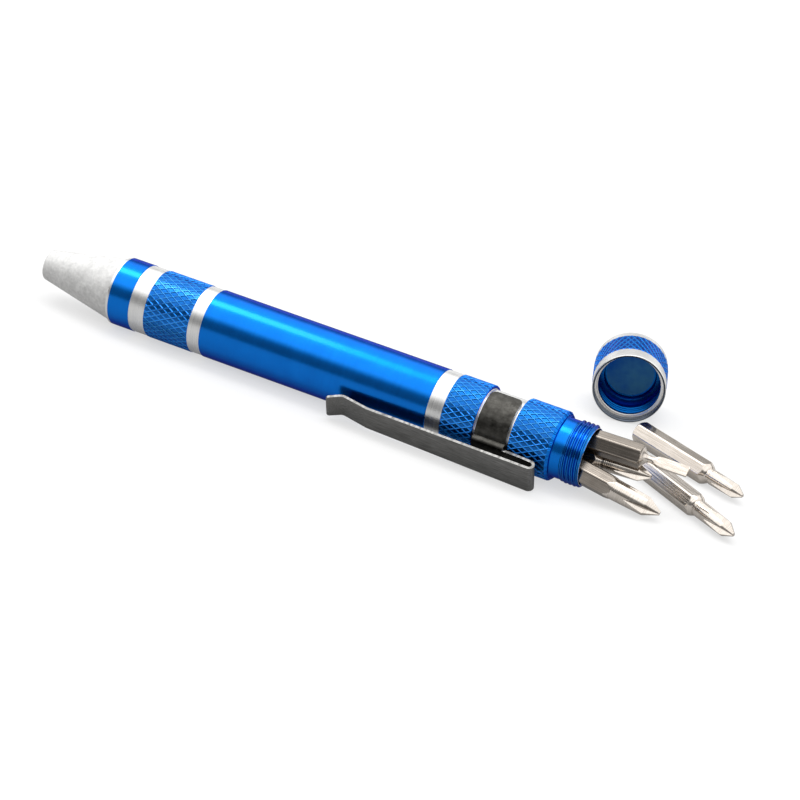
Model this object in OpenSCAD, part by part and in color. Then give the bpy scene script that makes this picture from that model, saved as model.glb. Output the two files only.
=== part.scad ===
// Pocket screwdriver, pen style: a knurled aluminium barrel that stores small hex bits, with its
// nose cone, spring pocket clip, screw cap taken off, and bits partly drawn out of the mouth.
// Origin: centre of the bit socket's mouth, on the barrel's axis at the tip of the nose.
// +X runs along the barrel towards its open end, +Z is up. The table is one barrel radius below.

/* [Barrel] */
// Outer diameter of the barrel
barrel_d = 13; // [12.6:0.1:16]
// Diameter of the storage bore
bore_d = 10.6; // [10.6:0.1:10.8]
// Length of the plain collar behind the nose
collar_len = 4.9; // [3:0.1:8]
// Length of the bright band ahead of the front grip
front_band_len = 3.2; // [1:0.1:6]
// Length of the front knurled grip
front_grip_len = 9.3; // [5:0.1:16]
// Length of the bright band behind the front grip
grip_band_len = 2.5; // [1:0.1:6]
// Length of the plain middle of the barrel
plain_len = 46.4; // [40:0.1:60]
// Length of the bright band ahead of the middle grip
rear_band_len = 2.9; // [1:0.1:6]
// Length of the middle knurled grip
mid_grip_len = 6.3; // [4:0.1:10]
// Length of the groove that the clip's ring sits in
clip_groove_len = 7.1; // [6.4:0.1:10]
// Depth of the clip's groove
clip_groove_depth = 0.7; // [0.6:0.05:0.75]
// Length of the rear knurled grip
rear_grip_len = 7.8; // [7.2:0.1:12]
// Depth that the bright bands are turned below the grips
band_depth = 0.1; // [0.05:0.05:0.2]
// Rounding of the collar's front edge, on the radius
collar_round = 0.35; // [0.1:0.05:0.6]
// Chamfer at the rear grip's end
grip_chamfer = 0.3; // [0.1:0.05:0.5]

/* [Thread] */
// Length of the relief between the rear grip and the thread
neck_len = 1.9; // [1:0.1:2]
// Diameter of that relief
neck_d = 11.1; // [11:0.1:11.4]
// Length of the cap's thread
thread_len = 3.8; // [2.5:0.1:4]
// Outside diameter of the thread
thread_d = 11.7; // [11.5:0.1:11.8]
// Running clearance between the thread and the cap, on the radius
thread_clearance = 0.05; // [0.02:0.01:0.1]

/* [Nose] */
// Length of the nose cone
nose_len = 16; // [13:0.1:22]
// Diameter at the tip of the nose
nose_tip_d = 6; // [5.8:0.1:7]
// Diameter at the base of the nose
nose_base_d = 12.3; // [11:0.1:12.3]
// Radius rounded on the tip's edge
nose_tip_round = 0.4; // [0.2:0.05:0.5]
// Length of the plug that fits inside the barrel
plug_len = 8; // [5:0.1:12]
// Clearance of the plug in the bore, on the radius
plug_clearance = 0.03; // [0.02:0.01:0.06]
// Depth of the hex socket
socket_depth = 9; // [7:0.1:11]
// Clearance across the flats of the socket
socket_clearance = 0.12; // [0.05:0.01:0.2]
// Diameter of the magnet at the bottom of the socket
magnet_d = 3.8; // [3:0.1:3.9]
// Length of the magnet
magnet_len = 3; // [2:0.1:5]

/* [Cap] */
// Outer diameter of the cap
cap_d = 14; // [13.6:0.1:16]
// Length of the cap
cap_len = 11; // [10:0.1:14]
// Length of the bright band at the cap's mouth
cap_band_len = 3; // [1.5:0.1:3.4]
// Length of the cap's knurled band
cap_grip_len = 6.1; // [4:0.1:6.2]
// Depth of the threaded part of the cap
cap_thread_depth = 5.9; // [5.8:0.1:6.5]
// Diameter of the pocket behind the thread
cap_pocket_d = 9.7; // [8:0.1:10.5]
// Depth of the pocket behind the thread
cap_pocket_depth = 1.4; // [0.5:0.1:2]
// Chamfer at the cap's closed end
cap_chamfer = 0.5; // [0.2:0.05:0.6]
// Bevel inside the cap's mouth
cap_bevel = 0.3; // [0.1:0.05:0.4]

/* [Clip] */
// Thickness of the clip's strip
clip_t = 0.5; // [0.4:0.05:0.6]
// Width of the clip's ring along the barrel
clip_ring_w = 5.6; // [4:0.1:6]
// Width of the clip at its fold
clip_w = 5.8; // [4.8:0.1:5.8]
// Width of the clip at its tip
clip_tip_w = 4.7; // [3:0.1:4.8]
// Clearance of the clip's ring in the groove, on the radius
clip_clearance = 0.05; // [0.02:0.01:0.1]
// How far round the ring reaches, to each side of the clip
clip_wrap_angle = 108; // [100:1:130]
// Height of the bridge over the barrel's surface
clip_bridge_lift = 0.1; // [0.05:0.05:0.15]
// Width of the raised bridge between the ring and the tab
clip_bridge_w = 4.5; // [4:0.1:5]
// Rise of the tab from the bridge to the fold
clip_tab_rise = 1.25; // [0.9:0.05:1.3]
// Inside radius of the fold
clip_fold_r = 0.55; // [0.4:0.05:0.55]
// Distance of the fold from the end of the rear grip
clip_fold_inset = 1.2; // [0.6:0.1:2]
// Length of the clip from the fold to its tip
clip_arm_len = 41; // [34:0.1:46]
// Drop of the arm towards the barrel along its straight part
clip_arm_drop = 0.7; // [0.3:0.05:1]
// Drop from the straight part to the gripping bend
clip_grip_drop = 1.0; // [0.4:0.05:1.2]
// Rise from the gripping bend to the tip
clip_tip_rise = 1.6; // [0.5:0.05:1.7]
// Distance of the gripping bend from the tip
clip_grip_from_tip = 2.6; // [1.5:0.1:4]
// Distance of the start of the gripping bend from the tip
clip_slope_from_tip = 8; // [6:0.1:12]
// Rounding of the tip's corners
clip_tip_round = 0.6; // [0.4:0.1:1.4]
// Slit in the fold where the arm starts to flex
clip_flex_slit = 0.15; // [0.12:0.01:0.2]
// Angle of the clip below the horizontal
clip_roll = 22.4; // [0:0.1:22.4]

/* [Bits] */
// Width across the flats of the hex bits
bit_af = 4; // [3.9:0.05:4]
// Length of a bit
bit_len = 26.5; // [26:0.1:27.5]
// Length ahead of the hex on the slim bits
slim_tip_len = 9.5; // [8.5:0.1:11]
// Length ahead of the hex on the nearer loose bit
long_tip_len = 11.4; // [10.5:0.1:12]
// Length ahead of the hex on the slotted bits
slot_tip_len = 8.8; // [8.4:0.1:10]
// Length ahead of the hex on the stout bits
stout_tip_len = 10.7; // [9.5:0.1:12]
// Chamfer on the hex's back end
bit_chamfer = 0.35; // [0.2:0.05:0.5]
// Length of the turned shoulder ahead of the hex
shoulder_len = 1.6; // [0.8:0.1:1.7]
// Rod diameter of the wide cross tip
wide_tip_d = 3.9; // [3.5:0.1:3.9]
// Rod diameter of the middle-sized cross tips
mid_tip_d = 3.2; // [2.8:0.1:3.5]
// Rod diameter of the fine cross tip
fine_tip_d = 2.9; // [2.4:0.1:3.2]
// Length of the flutes of a cross tip
flute_len = 7; // [5:0.1:7.2]
// Flat left at the point of a cross tip
point_d = 0.7; // [0.4:0.05:1]
// Half angle of a cross tip's point
point_angle = 27; // [20:1:35]
// Half angle of the flutes of a cross tip
flute_angle = 46; // [40:1:50]
// Width of the slotted tip in the mouth
slot_tip_w = 2; // [1.5:0.1:2.6]
// Width of the slotted tip stored in the barrel
stored_slot_tip_w = 3; // [2.5:0.1:3.5]
// Thickness of a slotted tip's edge
slot_tip_t = 0.5; // [0.3:0.05:0.8]
// Length of a slotted tip's flat blade
slot_blade_len = 6.1; // [4:0.1:6.5]
// Neck diameter behind a slotted blade
slot_neck_d = 1.2; // [1:0.1:1.4]
// Diameter over the lobes of the star tip
star_tip_d = 1.9; // [1.4:0.1:2.3]
// Length of the star tip
star_tip_len = 3; // [2:0.1:4]

/* [Places] */
// Distance of the cap's mouth along the barrel
cap_x = 107.2; // [106.6:0.1:110]
// Distance of the cap's mouth to the side
cap_y = 30.9; // [30.9:0.1:40]
// Direction that the cap's mouth faces
cap_yaw = -71; // [-75:1:-66]
// Distance of the back of the nearer loose bit beyond the mouth
front_bit_out = 6; // [5:0.1:9]
// Distance of the back of the nearer loose bit to the side
front_bit_y = 13.2; // [12.5:0.1:14]
// Direction of the nearer loose bit
front_bit_yaw = -31.8; // [-34:0.1:-28]
// Distance of the back of the farther loose bit beyond the mouth
rear_bit_out = 0.5; // [0:0.1:4]
// Distance of the back of the farther loose bit to the side
rear_bit_y = 25.5; // [25:0.1:26]
// Direction of the farther loose bit
rear_bit_yaw = -23.9; // [-26:0.1:-20]
// Length of the slotted bit that is left inside the barrel
slotted_bit_in = 9.2; // [6:0.1:14]
// Length of the wide cross bit that is left inside the barrel
wide_bit_in = 11; // [10:0.1:11.5]
// Length of the middle cross bit that is left inside the barrel
mid_bit_in = 15.7; // [12:0.1:17]
// Distance from the mouth to the tips of the stored bits
stored_tip_in = 28; // [26:0.1:40]

/* [Hidden] */
$fn = 48;

// Colours as the photograph shows them
blue = [0.02, 0.33, 0.85];
bare_metal = [0.82, 0.82, 0.80];
dark_steel = [0.36, 0.36, 0.35];
plated_steel = [0.78, 0.75, 0.69];
magnet_grey = [0.45, 0.45, 0.47];

// One overrun for every cut
over = 1;

// Stations along the barrel, from the tip of the nose
collar_x = nose_len;
front_band_x = collar_x + collar_len;
front_grip_x = front_band_x + front_band_len;
grip_band_x = front_grip_x + front_grip_len;
plain_x = grip_band_x + grip_band_len;
rear_band_x = plain_x + plain_len;
mid_grip_x = rear_band_x + rear_band_len;
clip_groove_x = mid_grip_x + mid_grip_len;
rear_grip_x = clip_groove_x + clip_groove_len;
neck_x = rear_grip_x + rear_grip_len;
thread_x = neck_x + neck_len;
mouth_x = thread_x + thread_len;
plug_end_x = collar_x + plug_len;

// Radii of the barrel, and the height of the table it lies on
barrel_r = barrel_d / 2;
bore_r = bore_d / 2;
band_r = barrel_r - band_depth;
groove_r = barrel_r - clip_groove_depth;
neck_r = neck_d / 2;
thread_r = thread_d / 2;
thread_lead = thread_r - neck_r;
mouth_bevel = (neck_r - bore_r) / 2;
table_z = -barrel_r;

// Radii of the cap, and the height of its axis as it lies on its side
cap_r = cap_d / 2;
cap_band_r = cap_r - band_depth;
cap_z = table_z + cap_r;

// Heights of the clip's strip, at its middle, above the barrel's axis
ring_in_r = groove_r + clip_clearance;
ring_out_r = ring_in_r + clip_t;
bridge_in_z = barrel_r + clip_bridge_lift;
bridge_out_z = bridge_in_z + clip_t;
bridge_z = bridge_in_z + clip_t / 2;
tab_end_z = bridge_z + clip_tab_rise;
fold_mid_r = clip_fold_r + clip_t / 2;
fold_out_r = clip_fold_r + clip_t;
fold_z = tab_end_z + fold_mid_r;
arm_start_z = fold_z + fold_mid_r;
slope_z = arm_start_z - clip_arm_drop;
grip_z = slope_z - clip_grip_drop;
clip_tip_z = grip_z + clip_tip_rise;

// Stations of the clip
ring_x = clip_groove_x + (clip_groove_len - clip_ring_w) / 2;
ring_end_x = ring_x + clip_ring_w;
clip_end_x = neck_x - clip_fold_inset;
fold_x = clip_end_x - fold_out_r;
clip_tip_x = clip_end_x - clip_arm_len;
grip_x = clip_tip_x + clip_grip_from_tip;
slope_x = clip_tip_x + clip_slope_from_tip;

// Sizes of the bits, and the room that the bore leaves beside one
bit_ac = bit_af / cos(30);
bit_r = bit_ac / 2;
bit_rest_z = table_z + bit_af / 2;
slim_hex_len = bit_len - slim_tip_len;
long_hex_len = bit_len - long_tip_len;
slot_hex_len = bit_len - slot_tip_len;
stout_hex_len = bit_len - stout_tip_len;
bit_slack = bore_r - bit_r;
flat_roll = 30;
web_share = 0.09;
slim_neck_share = 0.92;
rod_taper_share = 0.92;
blade_root_share = 0.6;
blade_spread_share = 0.4;
star_lobe_share = 0.18;

// Turns of the bits in the mouth: yaw, pitch and roll
slotted_turn = [2.4, 0.3, 38];
wide_turn = [0, -9.4, -9];
mid_turn = [1.8, 1.6, -22];
// Turns of the flutes about each bit, from its first flat
wide_flute_turn = 7;
mid_flute_turn = 30;
front_flute_turn = 67;
rear_flute_turn = 71;
stored_flute_turn = 45;
// Back ends of the bits in the mouth, across and up, as shares of the room in the bore
slotted_seat_shares = [0.33, 0.835];
wide_seat_shares = [-0.675, -0.175];
mid_seat_shares = [0.72, -0.62];
// Places of the stored bits round the bore, as shares of the room in it
stored_left_shares = [-0.79, -0.46];
stored_right_shares = [0.79, -0.46];
stored_top_shares = [0, 0.92];
stored_x = mouth_x - stored_tip_in - bit_len;

// Solid of revolution about the X axis, from points of station and radius
module turned(points) {
  rotate([0, 90, 0])
    rotate_extrude()
      polygon([for (p = points) [p[1], p[0]]]);
}

// Round bar along X
module bar(x, r, len) {
  translate([x, 0, 0])
    rotate([0, 90, 0])
      cylinder(r = r, h = len);
}

// Cone along X
module taper(x, r_start, r_end, len) {
  translate([x, 0, 0])
    rotate([0, 90, 0])
      cylinder(r1 = r_start, r2 = r_end, h = len);
}

// Prism along X of an outline drawn across and up
module along_x(x, len) {
  translate([x, 0, 0])
    rotate([90, 0, 90])
      linear_extrude(height = len)
        children();
}

// Prism across the clip of an outline drawn along and up
module across(w) {
  rotate([90, 0, 0])
    linear_extrude(height = w, center = true)
      children();
}

// Points of a rounded edge, from the end face at the start of X to the outside
function edge_arc(r, round_r) = [
  for (a = [90 : -15 : 0]) [round_r * (1 - sin(a)), r - round_r * (1 - cos(a))]
];

module barrel() {
  color(blue)
    difference() {
      turned([
        [collar_x, 0],
        [collar_x, barrel_r - collar_round],
        [collar_x + collar_round, barrel_r - collar_round / 4],
        [collar_x + 2 * collar_round, barrel_r],
        [front_band_x, barrel_r],
        [front_band_x, band_r],
        [front_grip_x, band_r],
        [front_grip_x, barrel_r],
        [grip_band_x, barrel_r],
        [grip_band_x, band_r],
        [plain_x, band_r],
        [plain_x, barrel_r],
        [rear_band_x, barrel_r],
        [rear_band_x, band_r],
        [mid_grip_x, band_r],
        [mid_grip_x, barrel_r],
        [clip_groove_x, barrel_r],
        [clip_groove_x, groove_r],
        [rear_grip_x, groove_r],
        [rear_grip_x, barrel_r],
        [neck_x - grip_chamfer, barrel_r],
        [neck_x, barrel_r - grip_chamfer],
        [neck_x, neck_r],
        [thread_x, neck_r],
        [thread_x + thread_lead, thread_r],
        [mouth_x - thread_lead, thread_r],
        [mouth_x, neck_r],
        [mouth_x, 0]
      ]);
      bar(collar_x - over, bore_r, mouth_x - collar_x + 2 * over);
      taper(mouth_x - mouth_bevel, bore_r, bore_r + mouth_bevel + over, mouth_bevel + over);
    }
}

module nose_cone() {
  tip_r = nose_tip_d / 2;
  base_r = nose_base_d / 2;
  plug_r = bore_r - plug_clearance;
  socket_r = (bit_af + socket_clearance) / cos(30) / 2;
  color(bare_metal)
    difference() {
      turned(concat(
        [[0, 0]],
        edge_arc(tip_r, nose_tip_round),
        [
          [nose_len, base_r],
          [nose_len, plug_r],
          [plug_end_x, plug_r],
          [plug_end_x, 0]
        ]
      ));
      translate([-over, 0, 0])
        rotate([0, 90, 0])
          cylinder(r = socket_r, h = socket_depth + over, $fn = 6);
      bar(socket_depth - over, magnet_d / 2 + plug_clearance, magnet_len + over);
    }
}

module socket_magnet() {
  color(magnet_grey)
    bar(socket_depth, magnet_d / 2, magnet_len);
}

// Outline of the ring with the bridge standing out of it
module ring_outline(r, bridge_w, top_z) {
  circle(r = r);
  translate([-bridge_w / 2, 0])
    square([bridge_w, top_z]);
}

// Flat length of the strip between two points along and up
module strip(start, end) {
  d = end - start;
  translate(start)
    rotate(atan2(d[1], d[0]))
      translate([0, -clip_t / 2])
        square([norm(d), clip_t]);
}

// Round of the strip where two lengths meet
module bend(p) {
  translate(p)
    circle(d = clip_t);
}

// One half of the fold: side 1 carries the arm, side -1 the tab
module fold_half(side) {
  reach = fold_out_r + over;
  translate([fold_x, fold_z])
    intersection() {
      difference() {
        circle(r = fold_out_r);
        circle(r = clip_fold_r);
      }
      translate([0, side > 0 ? clip_flex_slit / 2 : -reach])
        square([reach, reach - clip_flex_slit / 2]);
    }
}

// The clip's own upright stands for the direction it points from the barrel
module clip_place() {
  rotate([90 + clip_roll, 0, 0])
    children();
}

module clip_ring() {
  gap = ring_out_r + over;
  color(dark_steel)
    clip_place() {
      along_x(ring_x, clip_ring_w)
        difference() {
          ring_outline(ring_out_r, clip_bridge_w, bridge_out_z);
          ring_outline(ring_in_r, clip_bridge_w - 2 * clip_t, bridge_in_z);
          polygon([
            [0, 0],
            [gap * sin(clip_wrap_angle), gap * cos(clip_wrap_angle)],
            [gap, -gap],
            [-gap, -gap],
            [-gap * sin(clip_wrap_angle), gap * cos(clip_wrap_angle)]
          ]);
        }
      intersection() {
        across(clip_w) {
          strip([ring_end_x - clip_t, bridge_z], [ring_end_x, bridge_z]);
          bend([ring_end_x, bridge_z]);
          strip([ring_end_x, bridge_z], [fold_x, tab_end_z]);
          bend([fold_x, tab_end_z]);
          fold_half(-1);
        }
        linear_extrude(height = arm_start_z)
          tab_outline();
      }
    }
}

// Outline of the tab seen from outside: it spreads from the bridge to the width of the fold
module tab_outline() {
  start_x = ring_end_x - clip_t;
  polygon([
    [start_x, -clip_bridge_w / 2],
    [ring_end_x, -clip_bridge_w / 2],
    [fold_x, -clip_w / 2],
    [clip_end_x, -clip_w / 2],
    [clip_end_x, clip_w / 2],
    [fold_x, clip_w / 2],
    [ring_end_x, clip_bridge_w / 2],
    [start_x, clip_bridge_w / 2]
  ]);
}

// Outline of the arm seen from outside: wider at the fold, with rounded corners at the tip
module arm_outline() {
  tip_half_w = clip_tip_w / 2;
  corner_x = clip_tip_x + clip_tip_round;
  polygon([
    [corner_x, -tip_half_w],
    [clip_end_x, -clip_w / 2],
    [clip_end_x, clip_w / 2],
    [corner_x, tip_half_w]
  ]);
  translate([clip_tip_x, clip_tip_round - tip_half_w])
    square([clip_tip_round, clip_tip_w - 2 * clip_tip_round]);
  for (side = [-1, 1])
    translate([corner_x, side * (tip_half_w - clip_tip_round)])
      circle(r = clip_tip_round);
}

module clip_arm() {
  color(dark_steel)
    clip_place()
      intersection() {
        across(clip_w) {
          fold_half(1);
          bend([fold_x, arm_start_z]);
          strip([fold_x, arm_start_z], [slope_x, slope_z]);
          bend([slope_x, slope_z]);
          strip([slope_x, slope_z], [grip_x, grip_z]);
          bend([grip_x, grip_z]);
          strip([grip_x, grip_z], [clip_tip_x, clip_tip_z]);
        }
        linear_extrude(height = arm_start_z + over)
          arm_outline();
      }
}

module cap() {
  grip_start = -cap_band_len - cap_grip_len;
  cap_bore_r = thread_r + thread_clearance;
  pocket_end = cap_thread_depth + cap_pocket_depth;
  color(blue)
    translate([cap_x, cap_y, cap_z])
      rotate([0, 0, cap_yaw])
        difference() {
          turned([
            [-cap_len, 0],
            [-cap_len, cap_band_r - cap_chamfer],
            [-cap_len + cap_chamfer, cap_band_r],
            [grip_start, cap_band_r],
            [grip_start, cap_r],
            [-cap_band_len, cap_r],
            [-cap_band_len, cap_band_r],
            [0, cap_band_r],
            [0, 0]
          ]);
          bar(-cap_thread_depth, cap_bore_r, cap_thread_depth + over);
          bar(-pocket_end, cap_pocket_d / 2, pocket_end + over);
          taper(-cap_bevel, cap_bore_r, cap_bore_r + cap_bevel + over, cap_bevel + over);
        }
}

// Hex stock of a bit: chamfered at the back, turned to a shoulder at the front
module hex_stock(hex_len, shoulder_r) {
  intersection() {
    rotate([0, 90, 0])
      cylinder(r = bit_r, h = hex_len + shoulder_len, $fn = 6);
    turned([
      [0, 0],
      [0, bit_r - bit_chamfer],
      [bit_chamfer, bit_r],
      [hex_len, bit_r],
      [hex_len + shoulder_len, shoulder_r],
      [hex_len + shoulder_len, 0]
    ]);
  }
}

// One flute of a cross tip, deepest at the point
module flute(rod_r, web_r) {
  reach = 2 * rod_r;
  start = flute_len + shoulder_len / 4;
  translate([bit_len, 0, web_r])
    rotate([0, atan((rod_r - web_r) / flute_len), 0])
      along_x(-start, start + over)
        polygon([[0, 0], [reach * tan(flute_angle), reach], [-reach * tan(flute_angle), reach]]);
}

// Bit with a cross tip on a turned rod, which tapers a little towards the point
module cross_bit(hex_len, rod_d, neck_share, flute_turn) {
  rod_r = rod_d / 2;
  neck_r = rod_r * neck_share;
  end_r = rod_r * rod_taper_share;
  neck_x = hex_len + shoulder_len;
  point_x = bit_len - (end_r - point_d / 2) / tan(point_angle);
  color(plated_steel)
    difference() {
      union() {
        hex_stock(hex_len, neck_r);
        turned([
          [hex_len, 0],
          [hex_len, neck_r],
          [neck_x, neck_r],
          [neck_x + shoulder_len / 4, rod_r],
          [point_x, end_r],
          [bit_len, point_d / 2],
          [bit_len, 0]
        ]);
      }
      for (a = [0 : 90 : 270])
        rotate([flute_turn - 90 + a, 0, 0])
          flute(rod_r, web_share * rod_d);
    }
}

// Bit with a slotted tip: a thin neck that dies into a flat blade, which spreads and then runs straight
module slotted_tip_bit(tip_w) {
  neck = slot_neck_d / 2;
  root = neck * blade_root_share;
  blade_x = bit_len - slot_blade_len;
  root_x = blade_x - neck;
  wide_x = blade_x + slot_blade_len * blade_spread_share;
  color(plated_steel) {
    hex_stock(slot_hex_len, neck);
    turned([
      [slot_hex_len, 0],
      [slot_hex_len, neck],
      [blade_x, neck],
      [wide_x, root / 2],
      [wide_x, 0]
    ]);
    intersection() {
      translate([0, 0, -neck])
        linear_extrude(height = slot_neck_d)
          polygon([
            [root_x, -root],
            [wide_x, -tip_w / 2],
            [bit_len, -tip_w / 2],
            [bit_len, tip_w / 2],
            [wide_x, tip_w / 2],
            [root_x, root]
          ]);
      across(2 * tip_w)
        polygon([
          [root_x, -root],
          [bit_len, -slot_tip_t / 2],
          [bit_len, slot_tip_t / 2],
          [root_x, root]
        ]);
    }
  }
}

// Bit with a six-lobed star tip on a turned rod
module star_bit() {
  root_r = star_tip_d * slim_neck_share;
  star_x = bit_len - star_tip_len;
  lobe_r = star_tip_d * star_lobe_share;
  color(plated_steel) {
    hex_stock(slim_hex_len, root_r);
    turned([
      [slim_hex_len, 0],
      [slim_hex_len, root_r],
      [star_x - shoulder_len, root_r],
      [star_x, star_tip_d / 2],
      [star_x, 0]
    ]);
    difference() {
      bar(star_x - shoulder_len, star_tip_d / 2, star_tip_len + shoulder_len);
      for (a = [0 : 60 : 300])
        rotate([a, 0, 0])
          translate([0, 0, star_tip_d / 2])
            bar(star_x, lobe_r, star_tip_len + over);
    }
  }
}

// A bit with its back end at a place, turned by yaw, pitch and roll
module lay(back, turn) {
  translate(back)
    rotate([turn[2], -turn[1], turn[0]])
      children();
}

// A bit in the mouth: how much of it is inside, its seat in the bore and its turn
module in_mouth(inside, shares, turn) {
  lay([mouth_x - inside, shares[0] * bit_slack, shares[1] * bit_slack], turn)
    children();
}

// A bit put away down the barrel
module stored(shares) {
  lay([stored_x, shares[0] * bit_slack, shares[1] * bit_slack], [0, 0, 0])
    children();
}

module slotted_bit() {
  in_mouth(slotted_bit_in, slotted_seat_shares, slotted_turn)
    slotted_tip_bit(slot_tip_w);
}

module cross_bit_wide() {
  in_mouth(wide_bit_in, wide_seat_shares, wide_turn)
    cross_bit(stout_hex_len, wide_tip_d, 1, wide_flute_turn);
}

module cross_bit_mid() {
  in_mouth(mid_bit_in, mid_seat_shares, mid_turn)
    cross_bit(stout_hex_len, mid_tip_d, slim_neck_share, mid_flute_turn);
}

module cross_bit_front() {
  lay([mouth_x + front_bit_out, front_bit_y, bit_rest_z], [front_bit_yaw, 0, flat_roll])
    cross_bit(long_hex_len, mid_tip_d, slim_neck_share, front_flute_turn);
}

module cross_bit_rear() {
  lay([mouth_x + rear_bit_out, rear_bit_y, bit_rest_z], [rear_bit_yaw, 0, flat_roll])
    cross_bit(slim_hex_len, fine_tip_d, slim_neck_share, rear_flute_turn);
}

module stored_slotted_bit() {
  stored(stored_left_shares)
    slotted_tip_bit(stored_slot_tip_w);
}

module stored_cross_bit() {
  stored(stored_right_shares)
    cross_bit(slim_hex_len, fine_tip_d, slim_neck_share, stored_flute_turn);
}

module stored_star_bit() {
  stored(stored_top_shares)
    star_bit();
}

barrel();
nose_cone();
socket_magnet();
clip_ring();
clip_arm();
cap();
slotted_bit();
cross_bit_wide();
cross_bit_mid();
cross_bit_front();
cross_bit_rear();
stored_slotted_bit();
stored_cross_bit();
stored_star_bit();
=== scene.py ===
from math import acos, asin, atan2, ceil, cos, pi, radians, sin, sqrt, tan, tau

import bmesh
import bpy
from mathutils import Matrix, Vector


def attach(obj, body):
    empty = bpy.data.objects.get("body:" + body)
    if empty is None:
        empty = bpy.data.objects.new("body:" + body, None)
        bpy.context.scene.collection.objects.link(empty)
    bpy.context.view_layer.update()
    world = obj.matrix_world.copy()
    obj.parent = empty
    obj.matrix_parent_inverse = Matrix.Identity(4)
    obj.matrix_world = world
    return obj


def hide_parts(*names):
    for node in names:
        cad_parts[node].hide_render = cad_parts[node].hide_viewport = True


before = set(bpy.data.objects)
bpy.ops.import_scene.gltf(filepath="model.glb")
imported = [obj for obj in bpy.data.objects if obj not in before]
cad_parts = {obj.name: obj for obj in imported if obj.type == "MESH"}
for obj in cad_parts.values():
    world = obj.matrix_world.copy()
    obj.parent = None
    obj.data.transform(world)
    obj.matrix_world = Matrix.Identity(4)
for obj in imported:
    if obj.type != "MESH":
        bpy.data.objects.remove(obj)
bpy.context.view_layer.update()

mm = 0.001  # lengths below are in millimetres
tiny = 0.001  # a difference that counts as none
near = 0.02  # how far the middle of a face may lie from its surface
merge = 0.0005  # vertices nearer than this become one
onCut = 0.00001  # a vertex nearer than this to a cut lies on it
quarterTurn = [radians(15 * k) for k in range(7)]  # steps of a rounded edge


# small helpers for materials

metal = {"streakScale": 1.0, "streakDetail": 2.0, "cloudDetail": 4.0, "noiseRough": 0.55,
         "colourSpan": (0.3, 0.7), "roughSpan": (0.25, 0.75), "coatRough": 0.1}


def newMaterial(name):
    mat = bpy.data.materials.new(name)
    mat.use_nodes = True
    nodes = mat.node_tree.nodes
    shader = nodes["Principled BSDF"]
    return mat, nodes, mat.node_tree.links, shader


def localCoords(nodes, links, scale):
    # the piece's own coordinates in millimetres, stretched by scale
    own = nodes.new("ShaderNodeAttribute")
    own.attribute_name = "own"
    mapping = nodes.new("ShaderNodeMapping")
    mapping.inputs["Scale"].default_value = scale
    links.new(own.outputs["Vector"], mapping.inputs["Vector"])
    return mapping.outputs["Vector"]


def noiseOn(nodes, links, vector, scale, detail):
    noise = nodes.new("ShaderNodeTexNoise")
    noise.inputs["Scale"].default_value = scale
    noise.inputs["Detail"].default_value = detail
    noise.inputs["Roughness"].default_value = metal["noiseRough"]
    links.new(vector, noise.inputs["Vector"])
    return noise.outputs["Fac"]


def rampOn(nodes, links, fac, low, high):
    ramp = nodes.new("ShaderNodeValToRGB")
    for stop, at, colour in zip(ramp.color_ramp.elements, metal["colourSpan"], (low, high)):
        stop.position = at
        stop.color = (*colour, 1)
    links.new(fac, ramp.inputs["Fac"])
    return ramp.outputs["Color"]


def rangeOn(nodes, links, fac, low, high):
    spread = nodes.new("ShaderNodeMapRange")
    spread.inputs["From Min"].default_value, spread.inputs["From Max"].default_value = metal["roughSpan"]
    spread.inputs["To Min"].default_value = low
    spread.inputs["To Max"].default_value = high
    links.new(fac, spread.inputs["Value"])
    return spread.outputs["Result"]


def bumpOn(nodes, links, fac, shader, strength, distance):
    bump = nodes.new("ShaderNodeBump")
    bump.inputs["Strength"].default_value = strength
    bump.inputs["Distance"].default_value = distance * mm
    links.new(fac, bump.inputs["Height"])
    links.new(bump.outputs["Normal"], shader.inputs["Normal"])


def metalMaterial(look):
    # a metal with streaks: colour, roughness and bump follow one stretched noise, cloud adds slow variation
    mat, nodes, links, shader = newMaterial(look["name"])
    stretched, even = localCoords(nodes, links, look["stretch"]), localCoords(nodes, links, (1, 1, 1))
    streaks = noiseOn(nodes, links, stretched, metal["streakScale"], metal["streakDetail"])
    cloud = noiseOn(nodes, links, even, look["cloudScale"], metal["cloudDetail"])
    both = nodes.new("ShaderNodeMath")
    both.operation = "MULTIPLY_ADD"
    links.new(streaks, both.inputs[0])
    both.inputs[1].default_value = look["streakShare"]
    cloudPart = nodes.new("ShaderNodeMath")
    cloudPart.operation = "MULTIPLY"
    links.new(cloud, cloudPart.inputs[0])
    cloudPart.inputs[1].default_value = 1 - look["streakShare"]
    links.new(cloudPart.outputs[0], both.inputs[2])
    links.new(rampOn(nodes, links, both.outputs[0], look["dark"], look["light"]), shader.inputs["Base Color"])
    links.new(rangeOn(nodes, links, both.outputs[0], *look["rough"]), shader.inputs["Roughness"])
    shader.inputs["Metallic"].default_value = 1.0
    shader.inputs["Coat Weight"].default_value = look.get("coat", 0.0)
    shader.inputs["Coat Roughness"].default_value = look.get("coatRough", metal["coatRough"])
    # how a metal reflects at its edges
    shader.inputs["Specular Tint"].default_value = (*look.get("edgeTint", (1, 1, 1)), 1)
    bumpOn(nodes, links, streaks, shader, look["bump"], look["bumpDepth"])
    return mat


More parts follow.
